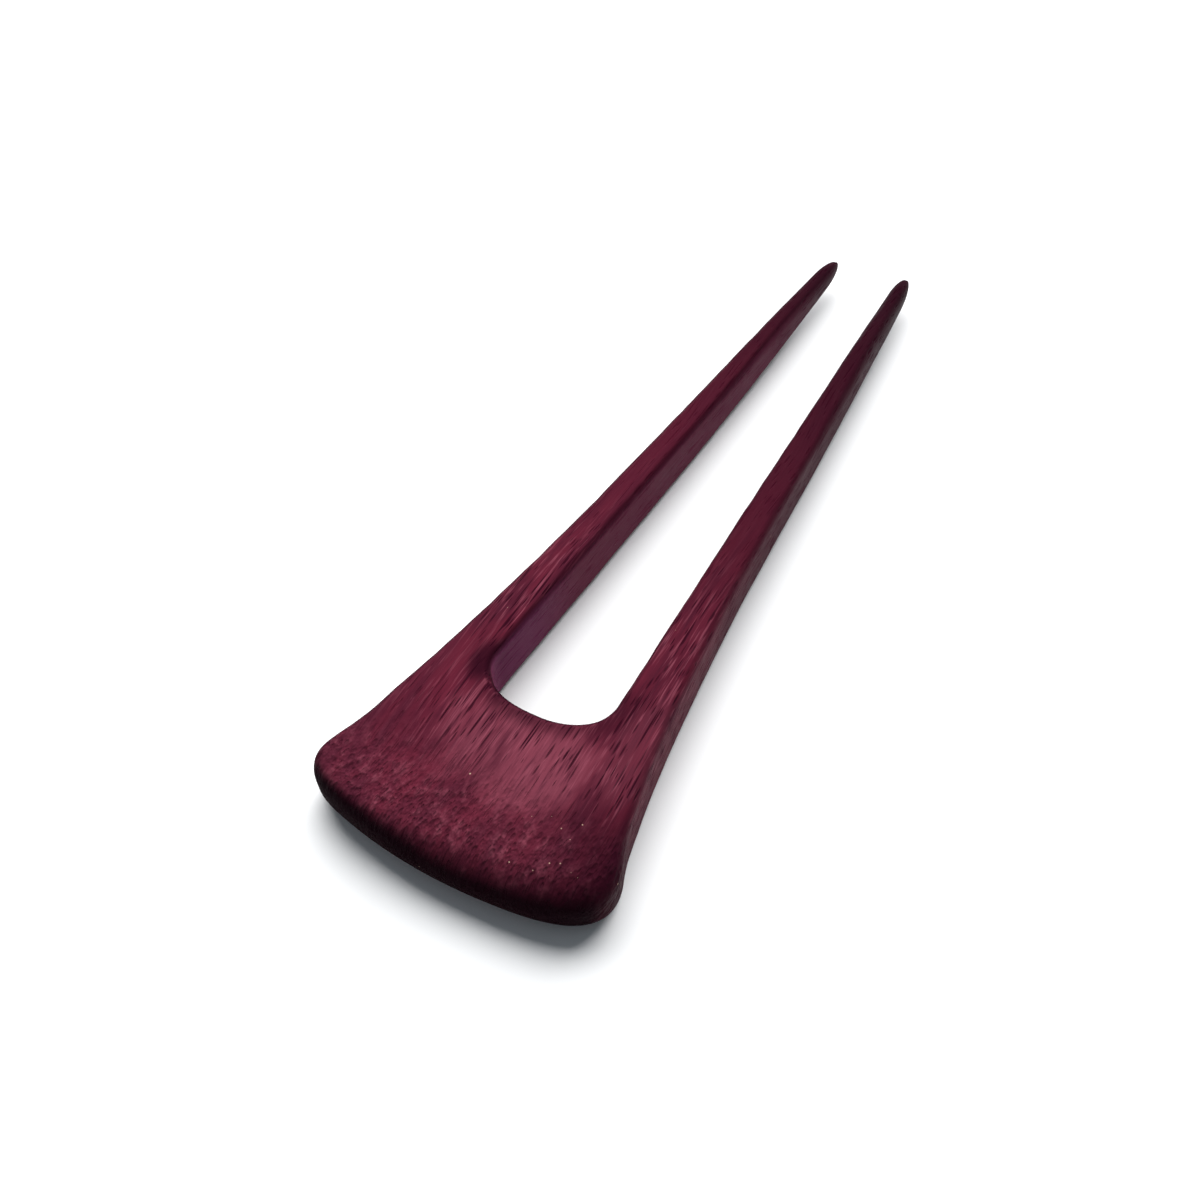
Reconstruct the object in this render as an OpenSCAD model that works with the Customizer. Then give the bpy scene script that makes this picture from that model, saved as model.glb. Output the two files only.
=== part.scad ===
// A wooden hair fork: a flared head and two tapering prongs, cut in one piece
// from a flat board and rounded over on every edge. It lies flat on its underside.
// X runs across the fork, +Y from the head to the tips of the prongs, +Z up.

/* [Fork] */
// Length from the end of the head to the tips
total_length = 134; // [115:1:160]
// Greatest thickness, just behind the foot of the prongs
board_thickness = 7.3; // [6:0.1:9]
// Radius of the rounding along the sides, the slot and the prongs
side_round = 1.1; // [0.6:0.05:1.2]

/* [Head] */
// Half the width of the head where its corners begin
head_half = 18.2; // [17:0.1:22]
// Rise of the curved end at corner_reference from the middle line
end_rise = 3.23; // [2:0.05:4.5]
// Distance from the middle line at which end_rise is measured
corner_reference = 20; // [18:0.5:24]
// Distance from the middle line at which the left corner starts to turn
left_corner_start = 13.6; // [11:0.1:14.5]
// Distance from the middle line at which the right corner starts to turn
right_corner_start = 9.4; // [8:0.1:14.5]
// Height above the end at which the left corner has turned into the side
left_corner_top = 7; // [6.8:0.1:10]
// Height above the end at which the right corner has turned into the side
right_corner_top = 9.3; // [7:0.1:10]
// How far in from the left half of the end its rounding begins
left_end_round = 1.9; // [1.4:0.1:3.6]
// How far in from the right half of the end its rounding begins
right_end_round = 4.4; // [1.6:0.1:4.6]
// Distance from the end at which its rounding has become that of the sides
round_reach = 14; // [10:0.5:18]
// Height of the underside above the table at the end
end_lift = 0.7; // [0.3:0.1:1.4]
// Distance from the end at which the underside has come down to the table
lift_reach = 11; // [8:0.5:14]

/* [Slot] */
// Distance from the end of the head to the bottom of the slot
crotch_start = 19.8; // [18:0.1:24]
// Height of the curved bottom of the slot
crotch_depth = 5.4; // [4:0.1:7]
// Fullness of the curved bottom, 2 for an ellipse and more for squarer corners
crotch_fullness = 2.27; // [2:0.01:3]
// Half the width of the slot at its bottom
slot_foot_half = 8; // [6.5:0.05:8.2]
// Half the distance between the prongs at their tips
slot_tip_half = 5.2; // [4.6:0.01:5.5]
// How far the sides of the slot bow inwards at half their length
slot_bow = 0.18; // [0:0.01:0.4]

/* [Tips] */
// Length over which a prong closes to its rounded tip
tip_length = 7; // [5:0.1:20]
// How much shorter the right prong is than the left one
right_prong_short = 0.6; // [0:0.1:1.5]
// Height of the underside above the table at the tips
tip_lift = 2.2; // [0.5:0.1:3]
// Distance from the tips at which the underside has come down to the table
tip_lift_reach = 60; // [40:1:70]
// Distance from the end of the head at which the prongs begin to turn rounder
round_start = 60; // [40:1:90]

/* [Hidden] */
purpleheart = [0.36, 0.12, 0.2];

// Columns: distance from the end as a share of total_length, half width of the
// head or of the pair of prongs as a share of head_half
side_table = [
    [0.05, 1.000],
    [0.08, 0.912],
    [0.12, 0.850],
    [0.16, 0.801],
    [0.21, 0.756],
    [0.27, 0.713],
    [0.36, 0.659],
    [0.50, 0.607],
    [0.66, 0.557],
    [0.82, 0.503],
    [0.92, 0.470],
    [1.00, 0.433]
];

// Columns: distance from the end as a share of total_length, thickness as a
// share of board_thickness
thickness_table = [
    [0.00, 0.60],
    [0.03, 0.79],
    [0.07, 0.92],
    [0.11, 0.98],
    [0.16, 1.00],
    [0.36, 0.95],
    [0.66, 0.83],
    [0.82, 0.71],
    [0.92, 0.55],
    [1.00, 0.42]
];

// Steps of the outline and of the edges
end_steps = 12;
corner_steps = 12;
flare_steps = 11;
prong_steps = 22;
tip_steps = 11;
edge_steps = 5;
face_steps = 4;

head_steps = end_steps + corner_steps + flare_steps;
half_steps = head_steps + prong_steps + tip_steps;
tip_start = total_length - tip_length;
slot_foot = crotch_start + crotch_depth;
// The upright band that is left between the upper and lower rounding
edge_band = 0.3;
// The share of a prong's width that one rounding may take
round_share = 0.46;

// Smooth curve through the rows of a table, read at x, level at a highest row
function gap_of(t, i) = t[i + 1][0] - t[i][0];
function slope_of(t, i) = (t[i + 1][1] - t[i][1]) / gap_of(t, i);
function tangent_of(t, i) =
    i == 0 ? slope_of(t, 0)
    : i == len(t) - 1 ? slope_of(t, i - 1)
    : slope_of(t, i - 1) * slope_of(t, i) < 0 ? 0
    : (slope_of(t, i - 1) * gap_of(t, i) + slope_of(t, i) * gap_of(t, i - 1))
        / (gap_of(t, i) + gap_of(t, i - 1));
function row_of(t, x, i = 0) = (i >= len(t) - 2 || x < t[i + 1][0]) ? i : row_of(t, x, i + 1);
function blend_of(t, x, i) =
    let (h = gap_of(t, i), u = (x - t[i][0]) / h)
    (2 * u ^ 3 - 3 * u ^ 2 + 1) * t[i][1]
    + (u ^ 3 - 2 * u ^ 2 + u) * h * tangent_of(t, i)
    + (3 * u ^ 2 - 2 * u ^ 3) * t[i + 1][1]
    + (u ^ 3 - u ^ 2) * h * tangent_of(t, i + 1);
function read_table(t, x) =
    let (c = min(max(x, t[0][0]), t[len(t) - 1][0]))
    blend_of(t, c, row_of(t, c));

// Half width outside, half width of the slot, thickness, height of the underside, and
// how far a prong is open at y
function outer_half(y) = head_half * read_table(side_table, y / total_length);
function slot_half(y) =
    let (u = (y - crotch_start) / (total_length - crotch_start))
    slot_foot_half + (slot_tip_half - slot_foot_half) * u - 4 * slot_bow * u * (1 - u);
function thickness(y) = board_thickness * read_table(thickness_table, y / total_length);
function underside(y) =
    end_lift * max(1 - y / lift_reach, 0) ^ 2
    + tip_lift * max(1 - (total_length - y) / tip_lift_reach, 0) ^ 2;
function side_of(x) = x < 0 ? "left" : "right";
function shortened(side) = side == "left" ? 0 : right_prong_short;
function openness(y, side) =
    let (u = min(max((y + shortened(side) - tip_start) / tip_length, 0), 1))
    sqrt(1 - u ^ 2);

// The curved end of the head and its slope
function end_y(x) = end_rise * (x / corner_reference) ^ 2;
function end_slope(x) = 2 * end_rise * x / corner_reference ^ 2;

// The slope of the side at y, from a short step
side_probe = 0.05;
function side_slope(y) = (outer_half(y + side_probe) - outer_half(y)) / side_probe;

// The corner between the end and the side: a curve between the two tangents
function corner_start(side) = side == "left" ? left_corner_start : right_corner_start;
function corner_top(side) = side == "left" ? left_corner_top : right_corner_top;
function corner_point(side, t) =
    let (
        x1 = corner_start(side),
        y1 = end_y(x1),
        s1 = end_slope(x1),
        y2 = corner_top(side),
        x2 = outer_half(y2),
        s2 = side_slope(y2),
        cx = (x2 + s2 * (y1 - s1 * x1 - y2)) / (1 - s2 * s1),
        cy = y1 + s1 * (cx - x1)
    )
    (1 - t) ^ 2 * [x1, y1] + 2 * t * (1 - t) * [cx, cy] + t ^ 2 * [x2, y2];

// Height of the step i of the prongs, counted from the foot of the slot
function prong_y(side, i) =
    let (start = tip_start - shortened(side))
    i <= prong_steps
    ? slot_foot + (start - slot_foot) * i / prong_steps
    : start + tip_length * sin(90 * (i - prong_steps) / tip_steps);

// Outer and inner outline of one half, from the middle line (i = 0) to the tip
function outer_quarter(side, i) =
    i <= end_steps ? let (x = corner_start(side) * i / end_steps) [x, end_y(x)]
    : i <= end_steps + corner_steps ? corner_point(side, (i - end_steps) / corner_steps)
    : i <= head_steps
        ? let (
            y0 = corner_top(side),
            y = y0 + (slot_foot - y0) * (i - end_steps - corner_steps) / flare_steps
        )
        [outer_half(y), y]
    : let (
        y = prong_y(side, i - head_steps),
        middle = (outer_half(y) + slot_half(y)) / 2,
        half = (outer_half(y) - slot_half(y)) / 2
    )
    [middle + half * openness(y, side), y];
function inner_quarter(side, i) =
    i <= head_steps
    ? let (a = 90 * i / head_steps, e = 2 / crotch_fullness)
        [slot_half(slot_foot) * sin(a) ^ e, crotch_start + crotch_depth * (1 - cos(a) ^ e)]
    : let (
        y = prong_y(side, i - head_steps),
        middle = (outer_half(y) + slot_half(y)) / 2,
        half = (outer_half(y) - slot_half(y)) / 2
    )
    [middle - half * openness(y, side), y];

// The whole outline as two lines of points, from the left tip to the right tip
function mirrored(p, side) = [side == "left" ? -p[0] : p[0], p[1]];
outer_line = [
    for (k = [-half_steps : half_steps])
    let (side = k < 0 ? "left" : "right")
    mirrored(outer_quarter(side, abs(k)), side)
];
inner_line = [
    for (k = [-half_steps : half_steps])
    let (side = k < 0 ? "left" : "right")
    mirrored(inner_quarter(side, abs(k)), side)
];

// Direction that points out of the wood, across a line of points
function across(line, j, turn) =
    let (d = line[j + 1] - line[j - 1])
    turn * [d[1], -d[0]] / norm(d);

// Share of the end's rounding at y: 1 at the end, and 0 where the sides' own has taken over
function end_share(y) = max(1 - y / round_reach, 0) ^ 2;
// How much rounder than the sides of the head a prong is at y: 0 at the head, 1 at the tip
function tip_share(y) = max((y - round_start) / (total_length - round_start), 0) ^ 2;
// How far in the end's rounding begins at x, from the left corner to the right one
function end_round(x) =
    let (u = min(max((x + left_corner_start) / (left_corner_start + right_corner_start), 0), 1))
    left_end_round + (right_end_round - left_end_round) * (1 - cos(180 * u)) / 2;

// One rounded edge, as points from its top (or bottom) to its bottom (or top)
function edge_angles() = concat(
    [for (j = [0 : edge_steps]) 90 - 90 * j / edge_steps],
    [for (j = [0 : edge_steps]) -90 * j / edge_steps]
);
function edge_point(p, out, depth, rise, upper, angle) =
    let (
        open = openness(p[1], side_of(p[0])),
        plan = p - out * depth * open * (1 - cos(angle)),
        base = underside(plan[1]),
        full = thickness(plan[1]),
        low = base + full * (1 - open) / 2,
        high = base + full * (1 + open) / 2
    )
    [
        plan[0],
        plan[1],
        upper ? high - rise * open * (1 - sin(angle)) : low + rise * open * (1 + sin(angle))
    ];
function edge(p, out, depth, rise) = [
    for (j = [0 : 2 * edge_steps + 1])
    edge_point(p, out, depth, rise, j <= edge_steps, edge_angles()[j])
];
function reversed(list) = [for (j = [len(list) - 1 : -1 : 0]) list[j]];

// Points of the upper face (face is 1) or the underside (face is -1) between the two edges
function face_point(a, b, share, face) =
    let (
        x = a[0] + (b[0] - a[0]) * share,
        y = a[1] + (b[1] - a[1]) * share
    )
    [x, y, underside(y) + thickness(y) * (1 + face * openness(y, side_of(x))) / 2];
function face_points(a, b, face) =
    [for (j = [1 : face_steps - 1]) face_point(a, b, j / face_steps, face)];

// One closed ring of the wood at step k
function ring(k) =
    let (
        j = k + half_steps,
        o = outer_line[j],
        i = inner_line[j],
        wide = abs(k) < head_steps ? board_thickness : outer_half(o[1]) - slot_half(o[1]),
        small = min(side_round, round_share * wide),
        tall = thickness(o[1]) / 2 - edge_band / 2,
        depth = small + (round_share * wide - small) * tip_share(o[1]),
        rise = small + (tall - small) * tip_share(o[1]),
        end_depth = depth + (end_round(o[0]) - depth) * end_share(o[1]),
        end_height = rise + (tall - rise) * end_share(o[1]),
        outside = edge(o, across(outer_line, j, 1), end_depth, end_height),
        inside = edge(i, across(inner_line, j, -1), depth, rise),
        last = 2 * edge_steps + 1
    )
    concat(
        outside,
        face_points(outside[last], inside[last], -1),
        reversed(inside),
        face_points(inside[0], outside[0], 1)
    );

rings = [for (k = [-half_steps + 1 : half_steps - 1]) ring(k)];
ring_size = len(rings[0]);
ring_count = len(rings);
function apex(j) =
    let (p = outer_line[j])
    [p[0], p[1], underside(p[1]) + thickness(p[1]) / 2];
body_points = concat(
    [for (r = rings) each r],
    [apex(0), apex(2 * half_steps)]
);
first_apex = ring_count * ring_size;
last_apex = first_apex + 1;
last_ring = (ring_count - 1) * ring_size;
body_faces = concat(
    [
        for (r = [0 : ring_count - 2], j = [0 : ring_size - 1])
        let (
            n = (j + 1) % ring_size,
            a = r * ring_size + j,
            b = r * ring_size + n,
            c = a + ring_size,
            d = b + ring_size
        )
        each [[a, c, b], [b, c, d]]
    ],
    [for (j = [0 : ring_size - 1]) [first_apex, j, (j + 1) % ring_size]],
    [for (j = [0 : ring_size - 1]) [last_apex, last_ring + (j + 1) % ring_size, last_ring + j]]
);

// The middle of the fork's box across and along, which the origin stands under
function middle_of(line, axis) =
    let (values = [for (p = line) p[axis]])
    (max(values) + min(values)) / 2;

module hair_fork() {
    color(purpleheart)
    translate([-middle_of(outer_line, 0), -middle_of(outer_line, 1), 0])
    polyhedron(points = body_points, faces = body_faces);
}

hair_fork();
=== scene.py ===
# %% [markdown]
# Wooden hair fork
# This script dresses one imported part: a two-pronged hair fork cut from a single
# board of purpleheart, rounded over by hand and oiled. It lies flat on a pale table.
# The steps are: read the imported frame, lay out the fork's two edge lines, loft the
# wood between them with Geometry Nodes, give it a hand-sanded skin and an oiled
# purpleheart material, and set up the table, the light and the camera.

# %% Load the frame
import math

import bmesh
import bpy
from mathutils import Matrix, Vector
from mathutils.bvhtree import BVHTree


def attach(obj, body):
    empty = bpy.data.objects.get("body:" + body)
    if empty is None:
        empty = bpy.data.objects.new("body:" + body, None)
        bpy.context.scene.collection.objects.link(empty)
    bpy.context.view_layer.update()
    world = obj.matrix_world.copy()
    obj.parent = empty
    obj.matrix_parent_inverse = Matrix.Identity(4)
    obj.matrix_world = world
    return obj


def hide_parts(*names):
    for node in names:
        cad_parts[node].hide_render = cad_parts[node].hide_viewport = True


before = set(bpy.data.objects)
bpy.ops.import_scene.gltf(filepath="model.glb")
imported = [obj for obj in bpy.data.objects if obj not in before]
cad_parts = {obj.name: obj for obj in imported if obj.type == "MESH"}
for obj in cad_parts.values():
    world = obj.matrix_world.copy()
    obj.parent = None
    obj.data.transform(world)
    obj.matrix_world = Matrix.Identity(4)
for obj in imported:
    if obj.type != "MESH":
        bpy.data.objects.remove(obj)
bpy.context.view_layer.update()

# %% [markdown]
# The sizes of the fork
# A maker draws the fork on the board first: how long it is, how wide the head flares,
# where the slot ends and how the prongs taper. The same sizes that the solid has are
# written here in metres, so that the fine surface lies where the solid lies. The side
# and the thickness are short tables: a place along the fork, and a share of a size.

# %% Sizes and tables
MM = 0.001
TOTAL_LENGTH = 134 * MM
BOARD_THICKNESS = 7.3 * MM
SIDE_ROUND = 1.1 * MM
HEAD_HALF = 18.2 * MM
END_RISE = 3.23 * MM
CORNER_REFERENCE = 20 * MM
CORNER_START = {"left": 13.6 * MM, "right": 9.4 * MM}
CORNER_TOP = {"left": 7 * MM, "right": 9.3 * MM}
END_ROUND = {"left": 1.9 * MM, "right": 4.4 * MM}
ROUND_REACH = 14 * MM
END_LIFT = 0.7 * MM
LIFT_REACH = 11 * MM
CROTCH_START = 19.8 * MM
CROTCH_DEPTH = 5.4 * MM
CROTCH_FULLNESS = 2.27
SLOT_FOOT_HALF = 8 * MM
SLOT_TIP_HALF = 5.2 * MM
SLOT_BOW = 0.18 * MM
TIP_LENGTH = 7 * MM
SHORTENED = {"left": 0.0, "right": 0.6 * MM}
TIP_LIFT = 2.2 * MM
TIP_LIFT_REACH = 60 * MM
ROUND_START = 60 * MM
EDGE_BAND = 0.3 * MM
ROUND_SHARE = 0.46
SLOT_FOOT = CROTCH_START + CROTCH_DEPTH
TIP_START = TOTAL_LENGTH - TIP_LENGTH

# Columns: place along the fork as a share of its length, half width as a share of HEAD_HALF
SIDE_TABLE = [(0.05, 1.000), (0.08, 0.912), (0.12, 0.850), (0.16, 0.801),
              (0.21, 0.756), (0.27, 0.713), (0.36, 0.659), (0.50, 0.607),
              (0.66, 0.557), (0.82, 0.503), (0.92, 0.470), (1.00, 0.433)]
# Columns: place along the fork as a share of its length, share of BOARD_THICKNESS
THICKNESS_TABLE = [(0.00, 0.60), (0.03, 0.79), (0.07, 0.92), (0.11, 0.98), (0.16, 1.00),
                   (0.36, 0.95), (0.66, 0.83), (0.82, 0.71), (0.92, 0.55), (1.00, 0.42)]
print("fork:", TOTAL_LENGTH, "m long,", 2 * HEAD_HALF, "m wide at the corners")

# %% [markdown]
# A smooth curve through a short table
# A flexible batten bent round a few nails gives a boatbuilder a fair curve. The same
# idea here is a cubic between each pair of rows, with the slope at a row taken from
# its two neighbours, and level at a row that is higher or lower than both.

# %% Read a table as a smooth curve
def slope_at(table, row):
    """Slope of the curve where it passes through a row of the table."""
    def rise(i):
        return (table[i + 1][1] - table[i][1]) / (table[i + 1][0] - table[i][0])
    if row == 0:
        return rise(0)
    if row == len(table) - 1:
        return rise(row - 1)
    before, after = rise(row - 1), rise(row)
    if before * after < 0:
        return 0.0
    back = table[row][0] - table[row - 1][0]
    ahead = table[row + 1][0] - table[row][0]
    return (before * ahead + after * back) / (ahead + back)


def read_table(table, x):
    """Height of the smooth curve at x, held level past both ends."""
    x = min(max(x, table[0][0]), table[-1][0])
    row = max(i for i in range(len(table) - 1) if table[i][0] <= x)
    gap = table[row + 1][0] - table[row][0]
    u = (x - table[row][0]) / gap
    return ((2 * u**3 - 3 * u**2 + 1) * table[row][1] + (u**3 - 2 * u**2 + u) * gap * slope_at(table, row)
            + (3 * u**2 - 2 * u**3) * table[row + 1][1] + (u**3 - u**2) * gap * slope_at(table, row + 1))


print("half width halfway along in mm:", round(HEAD_HALF * read_table(SIDE_TABLE, 0.5) / MM, 2))

# %% [markdown]
# Widths along the fork
# Three rules give the outline of the prongs. The outside follows the side's table, the
# slot narrows evenly from its foot to the tips with a slight bow, and the last few
# millimetres of a prong close like the end of an ellipse, which reads as a bullet tip.

# %% Width rules
def outer_half(y):
    """Half the fork's width at y, measured to its outer side."""
    return HEAD_HALF * read_table(SIDE_TABLE, y / TOTAL_LENGTH)


def slot_half(y):
    """Half the slot's width at y."""
    u = (y - CROTCH_START) / (TOTAL_LENGTH - CROTCH_START)
    return SLOT_FOOT_HALF + (SLOT_TIP_HALF - SLOT_FOOT_HALF) * u - 4 * SLOT_BOW * u * (1 - u)


def openness(y, side):
    """1 along the prongs, and down to 0 where a tip has closed."""
    u = min(max((y + SHORTENED[side] - TIP_START) / TIP_LENGTH, 0), 1)
    return math.sqrt(1 - u * u)


print("half width at the slot's foot in mm:", round(outer_half(SLOT_FOOT) / MM, 2))

# %% [markdown]
# The curved end and its two corners
# The head's end is one shallow curve, and each corner is a rounder one that leaves it
# and meets the side without a kink. A quadratic curve between the two tangents does just
# that. Its start and its end are named sizes, one pair for each corner, because the left
# corner of this fork is tighter than the right one.

# %% End and corners
SLOPE_PROBE = 0.05 * MM


def end_y(x):
    """How far the curved end has risen at x."""
    return END_RISE * (x / CORNER_REFERENCE) ** 2


def corner_point(side, t):
    """A point of the curve that leaves the end and joins the side, tangent to both."""
    x1, y2 = CORNER_START[side], CORNER_TOP[side]
    y1, x2 = end_y(x1), outer_half(y2)
    s1 = 2 * END_RISE * x1 / CORNER_REFERENCE**2
    s2 = (outer_half(y2 + SLOPE_PROBE) - x2) / SLOPE_PROBE
    cx = (x2 + s2 * (y1 - s1 * x1 - y2)) / (1 - s2 * s1)
    cy = y1 + s1 * (cx - x1)
    return ((1 - t) ** 2 * x1 + 2 * t * (1 - t) * cx + t * t * x2,
            (1 - t) ** 2 * y1 + 2 * t * (1 - t) * cy + t * t * y2)


print("corners end at mm:", [[round(v / MM, 2) for v in corner_point(side, 1)] for side in CORNER_TOP])

# %% [markdown]
# The two edge lines
# Seen from above, the wood lies between two lines: the outer one runs from the left
# tip down the left side, round the head and up the right side, and the inner one runs
# round the slot. Both are walked in the same number of steps, so that step k of one
# lies across the wood from step k of the other.

# %% Walk the edge lines
END_STEPS, CORNER_STEPS, FLARE_STEPS, PRONG_STEPS, TIP_STEPS = 26, 26, 22, 110, 26
HEAD_STEPS = END_STEPS + CORNER_STEPS + FLARE_STEPS
HALF_STEPS = HEAD_STEPS + PRONG_STEPS + TIP_STEPS


def prong_y(side, step):
    """Place along a prong: even steps to the tip's start, then closer and closer ones."""
    start = TIP_START - SHORTENED[side]
    if step <= PRONG_STEPS:
        return SLOT_FOOT + (start - SLOT_FOOT) * step / PRONG_STEPS
    return start + TIP_LENGTH * math.sin(math.pi / 2 * (step - PRONG_STEPS) / TIP_STEPS)


def prong_point(side, step, way):
    """A point of a prong's edge: way is 1 for its outer side and -1 for its inner side."""
    y = prong_y(side, step - HEAD_STEPS)
    middle, half = (outer_half(y) + slot_half(y)) / 2, (outer_half(y) - slot_half(y)) / 2
    return middle + way * half * openness(y, side), y


def outer_point(side, step):
    """A point of the outer line: along the end, round the corner, up the side, round the tip."""
    if step <= END_STEPS:
        x = CORNER_START[side] * step / END_STEPS
        return x, end_y(x)
    if step <= END_STEPS + CORNER_STEPS:
        return corner_point(side, (step - END_STEPS) / CORNER_STEPS)
    if step <= HEAD_STEPS:
        past_corner = step - END_STEPS - CORNER_STEPS
        y = CORNER_TOP[side] + (SLOT_FOOT - CORNER_TOP[side]) * past_corner / FLARE_STEPS
        return outer_half(y), y
    return prong_point(side, step, 1)


def inner_point(side, step):
    """A point of the inner line: round the slot's foot, then along the prong."""
    if step > HEAD_STEPS:
        return prong_point(side, step, -1)
    turn, power = math.pi / 2 * step / HEAD_STEPS, 2 / CROTCH_FULLNESS
    cosine = max(math.cos(turn), 0.0)
    return (slot_half(SLOT_FOOT) * math.sin(turn) ** power,
            CROTCH_START + CROTCH_DEPTH * (1 - cosine**power))


walk = list(range(-HALF_STEPS, HALF_STEPS + 1))
outer_line, inner_line, opened_line = [], [], []
for k in walk:
    side, sign = ("left", -1) if k < 0 else ("right", 1)
    (ox, oy), (ix, iy) = outer_point(side, abs(k)), inner_point(side, abs(k))
    opened_line.append(openness(oy, side))
    outer_line.append(Vector((sign * ox, oy, 0)))
    inner_line.append(Vector((sign * ix, iy, 0)))

# The part's origin stands under the middle of the fork's box
centre = Vector([(max(p[a] for p in outer_line) + min(p[a] for p in outer_line)) / 2 for a in range(3)])
print("edge lines:", len(walk), "steps each; middle in mm:", [round(c / MM, 3) for c in centre])

# %% [markdown]
# The rails
# A loft needs to know where each slice of wood stands. The rails say it: one point for
# each step along the outer line, with the matching inner point, the two directions that
# face away from the wood, and how the rounding changes there. Loose mesh points carry
# these as named attributes, which a node tree can read by name.

# %% Rules along the rails
def way_out(line, i, turn):
    """Unit vector that points away from the wood at point i of an edge line."""
    along = line[min(i + 1, len(line) - 1)] - line[max(i - 1, 0)]
    return Vector((along.y, -along.x, 0)).normalized() * turn


def end_share(y):
    """1 at the head's end, and 0 where the sides' own rounding has taken over."""
    return max(1 - y / ROUND_REACH, 0) ** 2


def tip_share(y):
    """0 at the head, and 1 at the tips, where a prong is as round as it gets."""
    return max((y - ROUND_START) / (TOTAL_LENGTH - ROUND_START), 0) ** 2


def end_round(x):
    """How far in the end's rounding begins at x: tight at the left corner, wide at the right."""
    u = min(max((x + CORNER_START["left"]) / (CORNER_START["left"] + CORNER_START["right"]), 0), 1)
    return END_ROUND["left"] + (END_ROUND["right"] - END_ROUND["left"]) * (1 - math.cos(math.pi * u)) / 2


print("end's rounding in mm, left and right:", [round(end_round(x * HEAD_HALF) / MM, 2) for x in (-1, 1)])


# %% Build the rails
def points_with(name, points, values):
    """An object of loose points, each carrying named values for the tree to read."""
    mesh = bpy.data.meshes.new(name)
    mesh.from_pydata(points, [], [])
    for title, column in values.items():
        vectors = isinstance(column[0], Vector)
        store = mesh.attributes.new(title, "FLOAT_VECTOR" if vectors else "FLOAT", "POINT")
        flat = [v for row in column for v in row] if vectors else column
        store.data.foreach_set("vector" if vectors else "value", flat)
    made = bpy.data.objects.new(name, mesh)
    bpy.context.scene.collection.objects.link(made)
    return made


rails = points_with("rails", outer_line, {
    "inner": inner_line,
    "outer_way": [way_out(outer_line, i, 1) for i in range(len(walk))],
    "inner_way": [way_out(inner_line, i, -1) for i in range(len(walk))],
    "end_share": [end_share(p.y) for p in outer_line],
    "tip_share": [tip_share(p.y) for p in outer_line],
    "end_round": [end_round(p.x) for p in outer_line],
    "open": opened_line,
    "wide": [BOARD_THICKNESS if abs(k) < HEAD_STEPS else outer_half(p.y) - slot_half(p.y)
             for k, p in zip(walk, outer_line)],
})
print("rails:", len(rails.data.vertices), "stations")

# %% [markdown]
# The section card
# A boatbuilder keeps a card cut to the shape of the hull's rib. This one is a list of
# places round a slice: how far each lies across the wood, how far round an edge it has
# turned, and whether it is above or below the middle. The points lie close together
# round an edge, because an edge shows its steps first, and wider apart across a face.

# %% Build the section card
EDGE_STEPS, FACE_STEPS = 10, 26
UP, DOWN = 1.0, -1.0
quarter = [math.pi / 2 * j / EDGE_STEPS for j in range(EDGE_STEPS + 1)]
across = [j / FACE_STEPS for j in range(1, FACE_STEPS)]
card_rows = [(0.0, bend, UP) for bend in reversed(quarter)]
card_rows += [(0.0, bend, DOWN) for bend in quarter]
card_rows += [(share, math.pi / 2, DOWN) for share in across]
card_rows += [(1.0, bend, DOWN) for bend in reversed(quarter)]
card_rows += [(1.0, bend, UP) for bend in quarter]
card_rows += [(share, math.pi / 2, UP) for share in reversed(across)]
card = points_with("section_card", [(0, 0, 0)] * len(card_rows), {
    "share": [row[0] for row in card_rows],
    "bend": [row[1] for row in card_rows],
    "half": [row[2] for row in card_rows],
})
print("section card:", len(card_rows), "points round a slice")

# %% [markdown]
# Small helpers for node trees
# A node tree is a diagram: boxes joined by wires. In a script each box is placed, its
# choices are set, and each input is given a number or the wire from another box. A few
# short helpers keep that readable, for the geometry here and for the materials later.

# %% Node helpers
def place(tree, kind, inputs=None, **choices):
    """Adds a node, sets its choices, and fills or joins its inputs."""
    made = tree.nodes.new(kind)
    for name, value in choices.items():
        setattr(made, name, value)
    for name, value in (inputs or {}).items():
        if isinstance(value, bpy.types.NodeSocket):
            tree.links.new(value, made.inputs[name])
        else:
            made.inputs[name].default_value = value
    return made


def calc(tree, operation, *values):
    """The result of one Math node."""
    return place(tree, "ShaderNodeMath", dict(enumerate(values)), operation=operation).outputs[0]


def vector_calc(tree, operation, *values):
    """The result of one Vector Math node that gives a vector."""
    return place(tree, "ShaderNodeVectorMath", dict(enumerate(values)), operation=operation).outputs[0]


def scaled(tree, vector, factor):
    """A vector times a number."""
    return place(tree, "ShaderNodeVectorMath", {0: vector, "Scale": factor}, operation="SCALE").outputs[0]


# For each kind of Mix node: the places of its two inputs and of its output
MIX_SOCKETS = {"FLOAT": (2, 3, 0), "VECTOR": (4, 5, 1), "RGBA": (6, 7, 2)}


def mix(tree, kind, share, a, b):
    """a where share is 0 and b where it is 1."""
    first, second, result = MIX_SOCKETS[kind]
    return place(tree, "ShaderNodeMix", {0: share, first: a, second: b}, data_type=kind).outputs[result]


def new_sockets(tree, direction, sockets):
    """Adds named inputs or outputs to a tree: name, kind and default of each."""
    for name, kind, default in sockets:
        made = tree.interface.new_socket(name, in_out=direction, socket_type="NodeSocket" + kind)
        if default is not None:
            made.default_value = default


print("kinds of Mix node:", ", ".join(MIX_SOCKETS))

# %% [markdown]
# The loft
# The fork's body follows one rule from tip to tip, so Geometry Nodes make it: a flat
# grid has one row for each station and one column for each point of the card, and each
# grid point looks up its station and its card point and moves to its place. The sizes
# are named inputs, so a thicker board or a softer edge is one changed number.

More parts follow.
